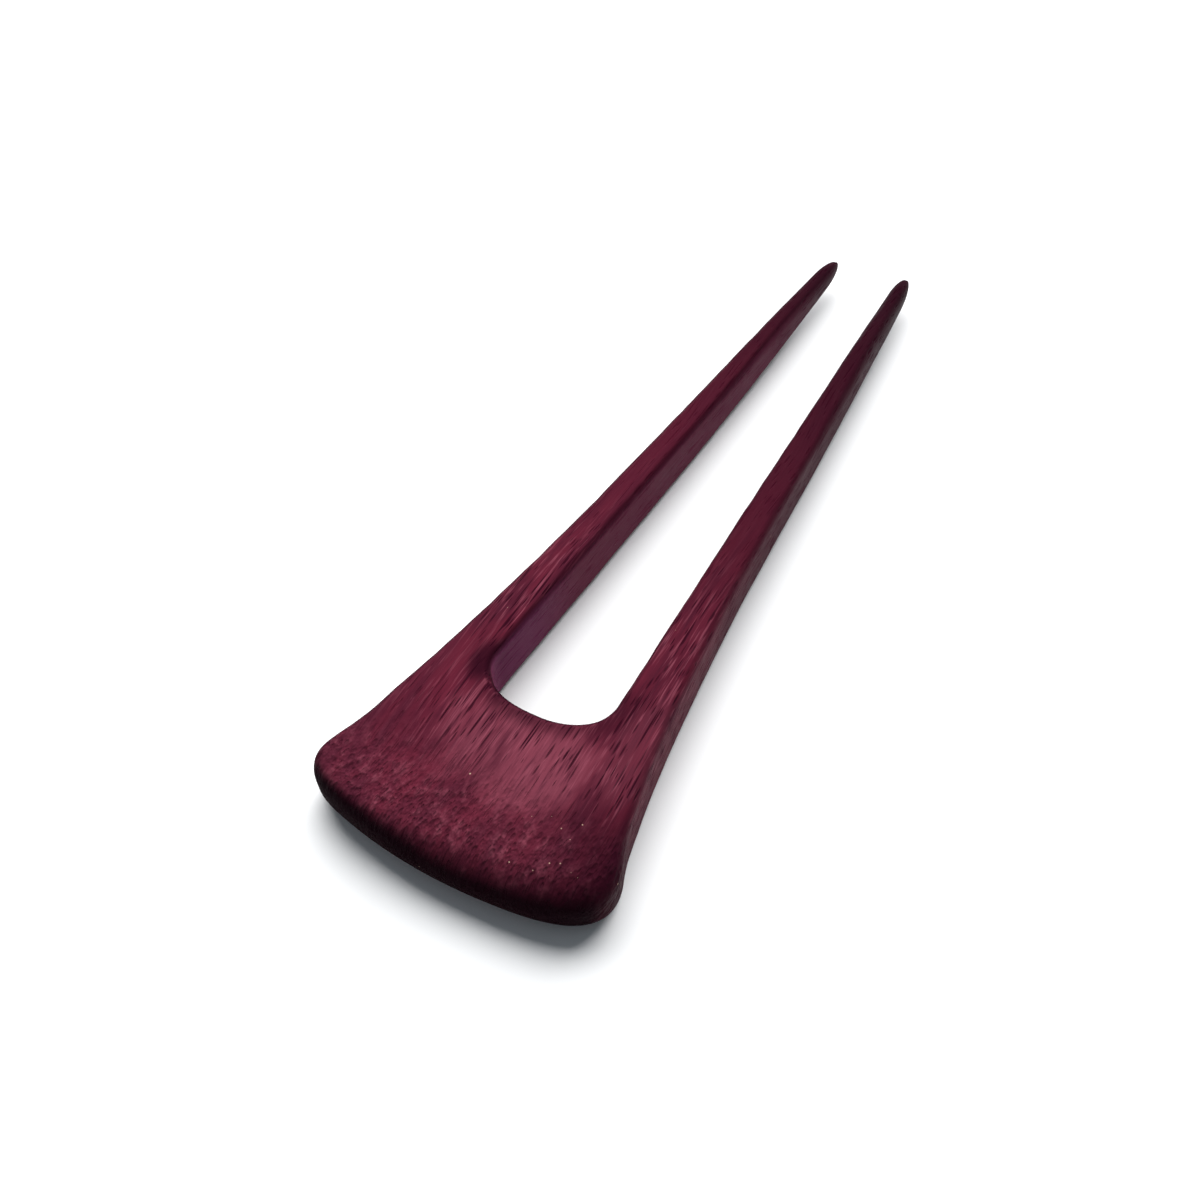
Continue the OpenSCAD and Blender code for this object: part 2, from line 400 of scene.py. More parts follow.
# %% The tree and its inputs
loft = bpy.data.node_groups.new("Fork Loft", "GeometryNodeTree")
new_sockets(loft, "INPUT", [
    ("Rails", "Geometry", None), ("Section Card", "Object", None),
    ("Length", "Float", 0.1), ("Thickness", "Float", 0.007), ("Side Round", "Float", 0.001),
    ("End Lift", "Float", 0.0), ("Lift Reach", "Float", 0.01),
    ("Tip Lift", "Float", 0.0), ("Tip Lift Reach", "Float", 0.05),
    ("Edge Band", "Float", 0.0003), ("Round Share", "Float", 0.5),
    ("Middle", "Vector", None), ("Edge Wander", "Float", 0.0), ("Wander Length", "Float", 0.01),
    ("Wave Depth", "Float", 0.0), ("Wave Length", "Float", 0.01), ("Seed", "Float", 0.0),
    ("Material", "Material", None)])
new_sockets(loft, "OUTPUT", [("Geometry", "Geometry", None)])
given = loft.nodes.new("NodeGroupInput").outputs
card_geometry = place(loft, "GeometryNodeObjectInfo", {"Object": given["Section Card"]}).outputs["Geometry"]
print("loft inputs:", [s.name for s in given if s.name])

# %% [markdown]
# A grid that knows its place
# The points of a grid are counted row by row, so a point's number divided by the row's
# length gives its row, which is its station, and what is left over gives its column.
# The last column repeats the first one, so that the slice closes round the wood. With
# both numbers known, Sample Index reads the named values off the rails and the card.

# %% Stations and card points
def point_count(geometry):
    """How many points a geometry has."""
    return place(loft, "GeometryNodeAttributeDomainSize", {"Geometry": geometry}).outputs["Point Count"]


columns = calc(loft, "ADD", point_count(card_geometry), 1)
grid = place(loft, "GeometryNodeMeshGrid", {
    "Size X": 1.0, "Size Y": 1.0,
    "Vertices X": point_count(given["Rails"]), "Vertices Y": columns}).outputs["Mesh"]
index = loft.nodes.new("GeometryNodeInputIndex").outputs[0]
station = calc(loft, "FLOOR", calc(loft, "DIVIDE", calc(loft, "ADD", index, 0.5), columns))
column = calc(loft, "SUBTRACT", index, calc(loft, "MULTIPLY", station, columns))
card_point = calc(loft, "MODULO", column, point_count(card_geometry))


def looked_up(geometry, title, kind, at):
    """The named value that one point of another geometry carries."""
    value = place(loft, "GeometryNodeInputNamedAttribute", {"Name": title}, data_type=kind).outputs[0]
    return place(loft, "GeometryNodeSampleIndex", {"Geometry": geometry, "Value": value, "Index": at},
                 data_type=kind, domain="POINT").outputs[0]


outer, inner, outer_way, inner_way = (
    looked_up(given["Rails"], title, "FLOAT_VECTOR", station)
    for title in ("position", "inner", "outer_way", "inner_way"))
at_end, at_tip, end_depth, opened, wide = (
    looked_up(given["Rails"], title, "FLOAT", station)
    for title in ("end_share", "tip_share", "end_round", "open", "wide"))
share, bend, half = (
    looked_up(card_geometry, title, "FLOAT", card_point) for title in ("share", "bend", "half"))
print("nodes so far:", len(loft.nodes))

# %% [markdown]
# Thickness and underside
# The board is thickest at the slot's foot and thins towards the end and the tips. A
# Float Curve node holds that profile, read off the thickness table, because it can be
# bent by hand later. The underside lies flat in its middle part and rises at both ends,
# a little under the head's end and more towards the tips, which a square gives smoothly.

# %% Thickness rules
PROFILE_POINTS = 30


def y_of(vector):
    """How far along the fork a place is."""
    return place(loft, "ShaderNodeSeparateXYZ", {0: vector}).outputs["Y"]


def lift(away, reach, height):
    """Falls as a square from a height to nothing, at a reach away from an end of the fork."""
    left_over = calc(loft, "SUBTRACT", 1.0, calc(loft, "DIVIDE", away, given[reach]))
    near = calc(loft, "MAXIMUM", left_over, 0.0)
    return calc(loft, "MULTIPLY", given[height], calc(loft, "POWER", near, 2.0))


def underside_at(vector):
    """Height of the underside at a place: a little above the table at both ends of the fork."""
    to_tips = calc(loft, "SUBTRACT", given["Length"], y_of(vector))
    at_the_end = lift(y_of(vector), "Lift Reach", "End Lift")
    return calc(loft, "ADD", at_the_end, lift(to_tips, "Tip Lift Reach", "Tip Lift"))


def thickness_at(vector):
    """Board thickness at a place: its Y as a share of the length, read off a curve."""
    along = calc(loft, "DIVIDE", y_of(vector), given["Length"])
    profile = place(loft, "ShaderNodeFloatCurve", {"Value": along})
    points = profile.mapping.curves[0].points
    for i in range(PROFILE_POINTS + 1):
        x = i / PROFILE_POINTS
        height = read_table(THICKNESS_TABLE, x)
        if i in (0, PROFILE_POINTS):
            points[0 if i == 0 else len(points) - 1].location = (x, height)
        else:
            points.new(x, height)
    profile.mapping.update()
    return calc(loft, "MULTIPLY", profile.outputs[0], given["Thickness"])


print("thickness at the tips in mm:", round(read_table(THICKNESS_TABLE, 1) * BOARD_THICKNESS / MM, 2))

# %% [markdown]
# The roundings
# Every edge has a quarter round above and one below, with the flat wall between them.
# Along the head's end both grow until only a narrow band is left, and towards the tips
# the prongs turn from a softened board into nearly round sticks. A Bevel modifier gives
# one radius, so the rounding is a rule of the loft instead. A sanded edge is never quite
# even, so a smooth noise makes its radius wander a little along the fork.

# %% Rounding rules
def wandering(radius, vector):
    """A radius that varies smoothly with the place, by the Edge Wander share."""
    noise = place(loft, "ShaderNodeTexNoise", {
        "Vector": scaled(loft, vector, calc(loft, "DIVIDE", 1.0, given["Wander Length"])),
        "W": given["Seed"], "Scale": 1.0, "Detail": 2.0, "Roughness": 0.6}, noise_dimensions="4D").outputs[0]
    swing = calc(loft, "MULTIPLY", calc(loft, "SUBTRACT", noise, 0.5), given["Edge Wander"])
    return calc(loft, "MULTIPLY", radius, calc(loft, "ADD", swing, 1.0))


fullest = calc(loft, "MULTIPLY", wide, given["Round Share"])
tall = calc(loft, "MULTIPLY", calc(loft, "SUBTRACT", thickness_at(outer), given["Edge Band"]), 0.5)
small = calc(loft, "MINIMUM", given["Side Round"], fullest)
small_outer, small_inner = wandering(small, outer), wandering(small, inner)
depth_inner = mix(loft, "FLOAT", at_tip, small_inner, fullest)
rise_inner = mix(loft, "FLOAT", at_tip, small_inner, tall)
depth_outer = mix(loft, "FLOAT", at_end, mix(loft, "FLOAT", at_tip, small_outer, fullest), end_depth)
rise_outer = mix(loft, "FLOAT", at_end, mix(loft, "FLOAT", at_tip, small_outer, tall), tall)
print("nodes so far:", len(loft.nodes))

# %% [markdown]
# Every grid point in its place
# Across the wood, a point steps back from its edge line as its edge turns, or lies
# between the two lines on a flat face. In height it starts at the top or the underside
# and moves inwards by what the rounding takes away. Where a tip closes, both shrink to a
# point. Rolled up like this, the grid's faces look inwards, so Flip Faces turns them. The
# turn of the edge is kept as an attribute, because painted shade darkens the rounded edges.

# %% Put every grid point in its place
MERGE_DISTANCE = 0.001 * MM
stepped_back = calc(loft, "MULTIPLY", opened, calc(loft, "SUBTRACT", 1.0, calc(loft, "COSINE", bend)))
outer_place = vector_calc(loft, "SUBTRACT", outer,
                          scaled(loft, outer_way, calc(loft, "MULTIPLY", depth_outer, stepped_back)))
inner_place = vector_calc(loft, "SUBTRACT", inner,
                          scaled(loft, inner_way, calc(loft, "MULTIPLY", depth_inner, stepped_back)))
plan = mix(loft, "VECTOR", share, outer_place, inner_place)
rise = mix(loft, "FLOAT", share, rise_outer, rise_inner)
signed_open = calc(loft, "MULTIPLY", half, opened)
part_way_up = calc(loft, "ADD", calc(loft, "MULTIPLY", signed_open, 0.5), 0.5)
level = calc(loft, "ADD", underside_at(plan), calc(loft, "MULTIPLY", part_way_up, thickness_at(plan)))
dropped = calc(loft, "MULTIPLY", calc(loft, "MULTIPLY", signed_open, rise),
               calc(loft, "SUBTRACT", 1.0, calc(loft, "SINE", bend)))
height = calc(loft, "SUBTRACT", level, dropped)
lifted = vector_calc(loft, "ADD", vector_calc(loft, "SUBTRACT", plan, given["Middle"]),
                     place(loft, "ShaderNodeCombineXYZ", {"Z": height}).outputs[0])
lofted = place(loft, "GeometryNodeSetPosition", {"Geometry": grid, "Position": lifted}).outputs[0]


def stored(geometry, title, value):
    """Keeps a value on every point under a name that a material can read."""
    return place(loft, "GeometryNodeStoreNamedAttribute", {
        "Geometry": geometry, "Name": title, "Value": value}, data_type="FLOAT", domain="POINT").outputs[0]


# The turn of the edge, read later for the painted shade along the rounded edges
noted = stored(lofted, "edge_turn", calc(loft, "SINE", calc(loft, "MULTIPLY", bend, 2.0)))
merged = place(loft, "GeometryNodeMergeByDistance", {
    "Geometry": noted, "Distance": MERGE_DISTANCE}).outputs[0]
closed = place(loft, "GeometryNodeFlipFaces", {"Mesh": merged}).outputs[0]
print("nodes so far:", len(loft.nodes))

# %% [markdown]
# The hand-sanded skin
# Seen closely, a face that was filed and sanded by hand has long shallow waves, a few
# hundredths of a millimetre deep. They show in the shading and in the outline, so they
# are real shape here and not a bump: a smooth noise, drawn out along the grain, moves the
# skin along its normal, but not where the fork touches the table. How squarely a place
# faces along the fork, or to the right, is stored too: end grain drinks more oil and gets
# painted shade, and walls that face right get a painted reflection of the pale table.

# %% Waves, end grain and the finished output
DRAWN_OUT = (1.0, 0.4, 1.0)
STILL_BELOW, MOVING_ABOVE = 0.3 * MM, 1.5 * MM
position = loft.nodes.new("GeometryNodeInputPosition").outputs[0]
normal = loft.nodes.new("GeometryNodeInputNormal").outputs[0]
wave_space = scaled(loft, vector_calc(loft, "MULTIPLY", position, DRAWN_OUT),
                    calc(loft, "DIVIDE", 1.0, given["Wave Length"]))
wave_noise = place(loft, "ShaderNodeTexNoise", {
    "Vector": wave_space, "W": given["Seed"], "Scale": 1.0, "Detail": 1.0}, noise_dimensions="4D").outputs[0]
above_table = place(loft, "ShaderNodeMapRange", {
    "Value": place(loft, "ShaderNodeSeparateXYZ", {0: position}).outputs["Z"],
    "From Min": STILL_BELOW, "From Max": MOVING_ABOVE}, interpolation_type="SMOOTHSTEP").outputs[0]
swing = calc(loft, "MULTIPLY", calc(loft, "SUBTRACT", 0.5, wave_noise), given["Wave Depth"])
wave = calc(loft, "MULTIPLY", swing, above_table)
waved = place(loft, "GeometryNodeSetPosition", {
    "Geometry": closed, "Offset": scaled(loft, normal, wave)}).outputs[0]
facing = place(loft, "ShaderNodeSeparateXYZ", {0: normal}).outputs
with_ends = stored(waved, "end_grain", calc(loft, "ABSOLUTE", facing["Y"]))
with_sides = stored(with_ends, "side_face", calc(loft, "MAXIMUM", facing["X"], 0.0))
real = place(loft, "GeometryNodeRealizeInstances", {"Geometry": with_sides}).outputs[0]
painted = place(loft, "GeometryNodeSetMaterial", {"Geometry": real, "Material": given["Material"]}).outputs[0]
place(loft, "NodeGroupOutput", {0: painted})
print("loft tree:", len(loft.nodes), "nodes,", len(loft.links), "links")

# %% [markdown]
# Oiled purpleheart, and a group for its streaks
# Freshly cut purpleheart is a brownish wine red that deepens to purple in the light.
# Its grain shows broad bands where the growth layers lie, fine streaks, open pores that
# read as short dark dashes, and a deeper colour where end grain has taken more oil. Each
# is a pattern in the wood itself, a solid one, so a cut in any direction shows it as real
# wood would. Streaks are a noise that is stretched along the grain. They are used at
# several sizes, so they are a shader group with named inputs, built once.

# %% A group for streaks along the grain
def shader_group(name, inputs, outputs):
    """A shader node group with its inputs' and outputs' sockets."""
    made = bpy.data.node_groups.new(name, "ShaderNodeTree")
    new_sockets(made, "INPUT", inputs)
    new_sockets(made, "OUTPUT", outputs)
    return made, made.nodes.new("NodeGroupInput").outputs, made.nodes.new("NodeGroupOutput").inputs


def drawn_along(tree, vector, width, length):
    """Grain coordinates divided by a width across the grain and a length along it."""
    size = place(tree, "ShaderNodeCombineXYZ", {"X": width, "Y": length, "Z": width}).outputs[0]
    return vector_calc(tree, "DIVIDE", vector, size)


streaks, inside, result = shader_group("Wood Streaks", [
    ("Vector", "Vector", None), ("Width", "Float", 0.5), ("Length", "Float", 10.0),
    ("Detail", "Float", 3.0), ("Seed", "Float", 0.0)], [("Value", "Float", None)])
noise = place(streaks, "ShaderNodeTexNoise", {
    "Vector": drawn_along(streaks, inside["Vector"], inside["Width"], inside["Length"]), "W": inside["Seed"],
    "Scale": 1.0, "Detail": inside["Detail"], "Roughness": 0.6}, noise_dimensions="4D").outputs[0]
spread = place(streaks, "ShaderNodeMapRange", {"Value": noise, "From Min": 0.25, "From Max": 0.75}).outputs[0]
streaks.links.new(spread, result["Value"])
print("streak group:", len(streaks.nodes), "nodes")

# %% [markdown]
# A group for pores, dimples and specks
# A pore is a fine tube that runs along the grain and ends after a few millimetres. A
# Voronoi texture fills space with cells, and a long stretched cell with a dark core is
# such a tube: a dash on a face along the grain, a dot on end grain. Each cell's random
# colour gives its core a size of its own and decides whether it has one at all.

# %% A group for open pores
pores, inside, result = shader_group("Wood Pores", [
    ("Vector", "Vector", None), ("Width", "Float", 0.5), ("Length", "Float", 5.0),
    ("Size", "Float", 0.3), ("Share", "Float", 0.5), ("Seed", "Float", 0.0)], [("Mask", "Float", None)])
SEED_SHIFT = (7.31, 13.17, 5.73)
DARK_CORE = 0.4
shifted = vector_calc(pores, "ADD", drawn_along(pores, inside["Vector"], inside["Width"], inside["Length"]),
                      scaled(pores, SEED_SHIFT, inside["Seed"]))
cell = place(pores, "ShaderNodeTexVoronoi", {"Vector": shifted, "Scale": 1.0, "Randomness": 1.0}).outputs
draws = place(pores, "ShaderNodeSeparateColor", {0: cell["Color"]}).outputs
own_size = calc(pores, "MULTIPLY", inside["Size"], calc(pores, "ADD", draws[0], 0.5))
hole = place(pores, "ShaderNodeMapRange", {
    "Value": cell["Distance"], "From Min": calc(pores, "MULTIPLY", own_size, DARK_CORE), "From Max": own_size,
    "To Min": 1.0, "To Max": 0.0}, interpolation_type="SMOOTHSTEP").outputs[0]
kept = calc(pores, "LESS_THAN", draws[1], inside["Share"])
pores.links.new(calc(pores, "MULTIPLY", hole, kept), result["Mask"])
print("pore group:", len(pores.nodes), "nodes")

# %% [markdown]
# The wood's own coordinates
# A pattern in wood follows the tree that it grew in, not the object cut from it. Object
# coordinates in millimetres are the start. Near the head's end the grain runs out of the
# top face, so its streaks and pores show as shorter marks there. The growth layers are a
# little cupped across the board, and a slow noise makes the lines sway as they do in any
# real plank.

# %% Grain coordinates
SLANT_START, SLANT = 13.0, 0.03
CUP = 0.004
SWAY_SCALE, SWAY_BY = (0.06, 0.03, 0.06), (3.0, 0.0, 1.5)
wood = bpy.data.materials.new("oiled_purpleheart")
wood.use_nodes = True
tree = wood.node_tree
tree.nodes.clear()
on_wood = tree.nodes.new("ShaderNodeTexCoord").outputs["Object"]
in_mm = place(tree, "ShaderNodeMapping", {"Vector": on_wood, "Scale": (1 / MM, 1 / MM, 1 / MM)}).outputs[0]
axes = place(tree, "ShaderNodeSeparateXYZ", {0: in_mm}).outputs
from_end = calc(tree, "ADD", axes["Y"], centre.y / MM)
short_of = calc(tree, "MAXIMUM", calc(tree, "SUBTRACT", SLANT_START, from_end), 0.0)
run_out = calc(tree, "MULTIPLY", calc(tree, "POWER", short_of, 2.0), SLANT)
cup = calc(tree, "MULTIPLY", calc(tree, "MULTIPLY", axes["X"], axes["X"]), CUP)
sway = place(tree, "ShaderNodeTexNoise", {
    "Vector": vector_calc(tree, "MULTIPLY", in_mm, SWAY_SCALE), "Scale": 1.0, "Detail": 1.0}).outputs["Color"]
swayed = vector_calc(tree, "ADD", in_mm, vector_calc(
    tree, "MULTIPLY", vector_calc(tree, "SUBTRACT", sway, (0.5, 0.5, 0.5)), SWAY_BY))
grain = vector_calc(tree, "ADD", swayed, place(
    tree, "ShaderNodeCombineXYZ", {"Z": calc(tree, "ADD", run_out, cup)}).outputs[0])
print("grain runs out of the top by", round(2 * SLANT * SLANT_START, 2), "mm a mm at the head's end")

# %% [markdown]
# Zones of the board
# Some zones change the colour in places: the right side is darker. Others hold painted
# light and shade: a painted sheen lightens the middle of the head, and painted shade darkens
# the tips, both corners of the head and the slot's foot. Each zone is a smooth mask made
# from a place in millimetres, along the fork from the head's end, or across it from the
# middle. A mask made of coordinates stays put on the wood from every side and in every light.

# %% Mask helpers
def eased(value, low, high, to_low=0.0, to_high=1.0):
    """A smooth step: to_low where value is low or less, to_high where it is high or more."""
    return place(tree, "ShaderNodeMapRange", {
        "Value": value, "From Min": low, "From Max": high, "To Min": to_low, "To Max": to_high},
        interpolation_type="SMOOTHSTEP").outputs[0]


def lengthways(start, full, outside=0.0, within=1.0):
    """A mask along the fork: from outside at start to within at full, in mm from the head's end."""
    return eased(from_end, start, full, outside, within)


def sideways(start, full, outside=0.0, within=1.0):
    """A mask across the fork: from outside at start to within at full, in mm from the middle."""
    return eased(axes["X"], start, full, outside, within)


def times(*values):
    """The product of several values."""
    total = values[0]
    for value in values[1:]:
        total = calc(tree, "MULTIPLY", total, value)
    return total


def how_far(x, y, wide, long):
    """0 at a spot on the board, 1 on the ellipse round it: the square of the distance."""
    away_x = calc(tree, "DIVIDE", calc(tree, "SUBTRACT", axes["X"], x), wide)
    away_y = calc(tree, "DIVIDE", calc(tree, "SUBTRACT", from_end, y), long)
    return calc(tree, "ADD", times(away_x, away_x), times(away_y, away_y))


def spot(x, y, wide, long, full):
    """A soft spot: 0 outside an ellipse, and 1 where the square of the distance is below full."""
    return eased(how_far(x, y, wide, long), 1.0, full)


print("mask helpers read X from the middle and Y from the head's end, in mm")


# %% Zones
# Each pair of numbers is where a mask begins and where it is full, in millimetres
near_end = lengthways(14.0, 4.0)
left_shoulder = times(sideways(-6.0, -12.0), lengthways(36.0, 24.0))
streaky = times(lengthways(7.0, 16.0), lengthways(65.0, 28.0), eased(left_shoulder, 0.0, 1.0, 1.0, 0.35))
on_prongs = lengthways(30.0, 75.0)
# Painted shade towards the tips
tip_shade = lengthways(50.0, 134.0)
to_the_right = sideways(-12.0, 14.0)
right_prong = times(sideways(-1.0, 3.0), lengthways(34.0, 58.0))
# Painted shade on both corners of the head
right_corner_shade = times(sideways(8.0, 17.0), lengthways(17.0, 8.0))
left_corner_shade = times(sideways(-8.0, -16.0), lengthways(18.0, 10.0))
right_root = spot(x=13.5, y=21.0, wide=4.0, long=9.0, full=0.2)
# Painted shade in the slot's left inner corner
crotch_shade = spot(x=-7.9, y=23.6, wide=2.4, long=4.0, full=0.1)
dusty = spot(x=10.5, y=7.0, wide=5.0, long=5.0, full=0.6)
print("wood tree with its zones:", len(tree.nodes), "nodes")

# %% [markdown]
# Bands, streaks, pores and dimples
# The two groups are placed once for each pattern that the eye can tell apart, with a
# width across the grain and a length along it in millimetres. Long and short pores are
# the dashes round the slot's foot, dimples and ripples are the pitted surface near the
# end, and specks and dust are the tiny pale grains that catch the light here and there.
# The three attributes that the loft stored are read here too.

# %% Patterns in the wood
def use_group(group, **values):
    """Places a shader group and gives the inputs that are named their values or wires."""
    return place(tree, "ShaderNodeGroup", values, node_tree=group).outputs[0]


bands = use_group(streaks, Vector=grain, Width=2.2, Length=60.0, Detail=2.0, Seed=1.0)
mottle = use_group(streaks, Vector=grain, Width=4.5, Length=9.0, Detail=3.0, Seed=2.0)
fine = use_group(streaks, Vector=grain, Width=0.30, Length=8.0, Detail=3.0, Seed=3.0)
bright_lines = use_group(streaks, Vector=grain, Width=0.30, Length=7.0, Detail=2.0, Seed=4.0)
long_pores = use_group(pores, Vector=grain, Width=0.36, Length=9.0, Size=0.34, Share=0.7, Seed=5.0)
short_pores = use_group(pores, Vector=grain, Width=0.36, Length=3.2, Size=0.34, Share=0.5, Seed=6.0)
specks = use_group(pores, Vector=in_mm, Width=3.2, Length=3.2, Size=0.03, Share=0.5, Seed=7.0)
dimples = use_group(pores, Vector=grain, Width=0.55, Length=1.3, Size=0.52, Share=0.75, Seed=8.0)
ripples = use_group(streaks, Vector=grain, Width=0.9, Length=1.5, Detail=2.0, Seed=9.0)
dust = use_group(pores, Vector=in_mm, Width=0.9, Length=0.9, Size=0.085, Share=0.9, Seed=10.0)
end_grain, side_face, edge_turn = (
    place(tree, "ShaderNodeAttribute", attribute_name=title).outputs["Fac"]
    for title in ("end_grain", "side_face", "edge_turn"))
off_walls = eased(side_face, 0.9, 0.6)
print("wood tree with its patterns:", len(tree.nodes), "nodes")

# %% [markdown]
# The colour of the plank
# Stain and oil are thin layers, and so are the colours here: the wine red of the wood
# lies lowest, and each layer covers the ones before it as far as its mask says. The
# plank comes first: dark growth bands, a painted sheen on the middle of the head, cloudy
# patches, fine dark and bright lines, which are strongest round the slot's foot, a lighter
# root of the right prong and painted shade on the left corner.

# %% Colours and the plank's layers
# Some of these colours also paint light and shade: the pale rose a sheen, the dark tip and pore colours
# shade, the pale and the violet wall colours a reflection of the pale table, and the near black of the end
# shade as well as oil.
WINE = (0.096, 0.0108, 0.0235, 1)
PLUM = (0.049, 0.0074, 0.017, 1)
ROSE = (0.218, 0.052, 0.078, 1)
PORE = (0.017, 0.0015, 0.006, 1)
RED_PRONG = (0.060, 0.0050, 0.015, 1)
DARK_TIP = (0.012, 0.0012, 0.0048, 1)
PAINTED_WALL_REFLECTION = (0.140, 0.023, 0.054, 1)
VIOLET = (0.154, 0.031, 0.086, 1)
OILED_END_AND_SHADE = (0.007, 0.0008, 0.003, 1)
SPECK = (0.45, 0.30, 0.22, 1)


def paint(under, layers):
    """Covers a colour with one layer after another, each a colour and its mask."""
    for colour, mask in layers:
        under = mix(tree, "RGBA", mask, under, colour)
    return under


# Low and high say which part of a pattern counts, and to_high how much it covers at most
# A painted sheen: the pale rose over a ragged spot below the slot's foot lightens the head
from_sheen_centre = how_far(x=2.0, y=14.8, wide=12.0, long=8.2)
ragged = calc(tree, "ADD", from_sheen_centre, calc(tree, "MULTIPLY", mottle, 0.8))
painted_sheen = eased(ragged, 1.5, 0.3)
body = paint(WINE, [
    (PLUM, eased(bands, 0.2, 0.9, to_high=0.7)),
    (ROSE, times(painted_sheen, 0.56)),
    (PLUM, eased(mottle, 0.45, 0.9, to_high=0.7)),
    (PLUM, times(eased(fine, 0.45, 0.9, to_high=0.75), eased(streaky, 0.0, 1.0, to_low=0.35))),
    (ROSE, times(eased(bright_lines, 0.5, 0.9, to_high=0.8), eased(streaky, 0.0, 1.0, to_low=0.18))),
    (ROSE, times(right_root, off_walls, 0.18)),
    # Painted shade on the left corner
    (PLUM, times(left_corner_shade, 0.3))])
print("plank layers done:", len(tree.nodes), "nodes")

# %% [markdown]
# The prongs, the pores and the pitted end
# Thin wood takes oil from all sides, so the prongs are redder, the right one darker than the
# left, and painted shade darkens them towards the tips. Over that go the pores, which are
# open holes full of oil and wax. Near the head's end the dimples are dark pits, partly the
# wood's own colour and partly painted shade, and the ripples get a painted highlight on their crests.

# %% Layers along the prongs and in the pores
body = paint(body, [
    (RED_PRONG, times(on_prongs, 0.65)),
    # Painted shade towards the tips
    (DARK_TIP, times(tip_shade, 0.85)),
    (DARK_TIP, times(right_prong, 0.32)),
    (DARK_TIP, times(to_the_right, eased(painted_sheen, 0.0, 0.6, 0.15, 0.0))),
    (PORE, times(long_pores, eased(streaky, 0.0, 1.0, 0.08, 0.85))),
    (PORE, times(short_pores, eased(streaky, 0.0, 1.0, 0.12, 0.75))),
    # Dark pits near the end: partly the wood's own colour, partly painted shade
    (PORE, times(dimples, near_end, eased(ripples, 0.25, 0.75, 0.22, 0.65))),
    # Painted highlight on the ripples' crests
    (ROSE, times(eased(ripples, 0.45, 0.95, 0.08, 0.55), near_end))])
print("pore layers done:", len(tree.nodes), "nodes")

# %% [markdown]
# The walls and the rim of the slot
# The slot was cut out and filed. Its left wall, and less so every wall that faces right, gets
# a painted reflection of the pale table, paler than the faces and violet near the slot's foot.
# The stored side_face says which places are such walls. Round the foot a painted shade darkens
# the edge: a mask on the ellipse through the rim fades over a few millimetres. Painted shade
# darkens the turned edges and the right corner as well.

# %% Layers on the walls and round the slot
wall = eased(side_face, 0.55, 0.95, to_high=0.8)
sides_shown = times(lengthways(5.0, 12.0), lengthways(134.0, 95.0, outside=0.1))
on_left = sideways(2.0, -2.0, outside=0.15)
at_crotch = times(lengthways(20.0, 25.0), lengthways(44.0, 30.0), sideways(2.0, -2.0))
rim_x = calc(tree, "DIVIDE", axes["X"], SLOT_FOOT_HALF / MM)
short_of_foot = calc(tree, "MAXIMUM", calc(tree, "SUBTRACT", SLOT_FOOT / MM, from_end), 0.0)
rim_y = calc(tree, "DIVIDE", short_of_foot, CROTCH_DEPTH / MM)
from_rim = calc(tree, "ADD", times(rim_x, rim_x), times(rim_y, rim_y))
# Painted shade round the slot's foot
rim = times(eased(from_rim, 2.5, 1.15), lengthways(30.0, 25.0), off_walls)
slot_edge = times(sideways(-1.0, -3.0), lengthways(110.0, 80.0))
body = paint(body, [
    # Painted reflection of the pale table on walls that face right, violet near the slot's foot
    (PAINTED_WALL_REFLECTION, times(wall, sides_shown, on_left)),
    (VIOLET, times(wall, at_crotch)),
    # Painted shade in the slot's left inner corner and round its foot
    (PORE, times(crotch_shade, off_walls, 0.8)),
    (PORE, times(rim, sideways(-7.0, -3.0, 0.3, 0.7), sideways(2.0, 8.0, 1.0, 0.7))),
    # Painted shade on the right corner
    (DARK_TIP, times(right_corner_shade, 0.75)),
    # Painted shade along the turned edges, stronger on the slot's left edge
    (PORE, times(eased(edge_turn, 0.3, 1.0, to_high=0.6), eased(slot_edge, 0.0, 1.0, to_low=0.5)))])
print("wall layers done:", len(tree.nodes), "nodes")

# %% [markdown]
# The oiled and shaded end, and the specks
# End grain is a bundle of open tubes and drinks oil until it is nearly black, and the end
# also gets painted shade where it turns away from the light behind the fork. Where the
# surface turns down at the head's end, the stored end_grain grows from 0 to 1, and the
# dark colour follows it, sooner on the right, where the rounding is wider. Specks and
# dust come last, because they lie on top of everything.

# %% Layers of the end and the specks
# The end's dark colour is partly oiled end grain and partly painted shade
end_oil_and_shade = mix(tree, "FLOAT", to_the_right, eased(end_grain, 0.5, 0.83), eased(end_grain, 0.36, 0.78))
body = paint(body, [
    (OILED_END_AND_SHADE, times(end_oil_and_shade, 0.97)),
    (SPECK, calc(tree, "MAXIMUM", specks, times(dust, dusty, 0.8)))])
print("all layers done:", len(tree.nodes), "nodes")

# %% [markdown]
# Gloss and relief
# An oiled and waxed face has a dull sheen, duller in its pores and on end grain, which
# is a Roughness that follows the same patterns. The pores are sunk, the ripples stand
# up, and a Bump node turns both into shading without moving the mesh, because they are
# finer than any sensible mesh. The mirror part is kept low: rubbed wax scatters light.

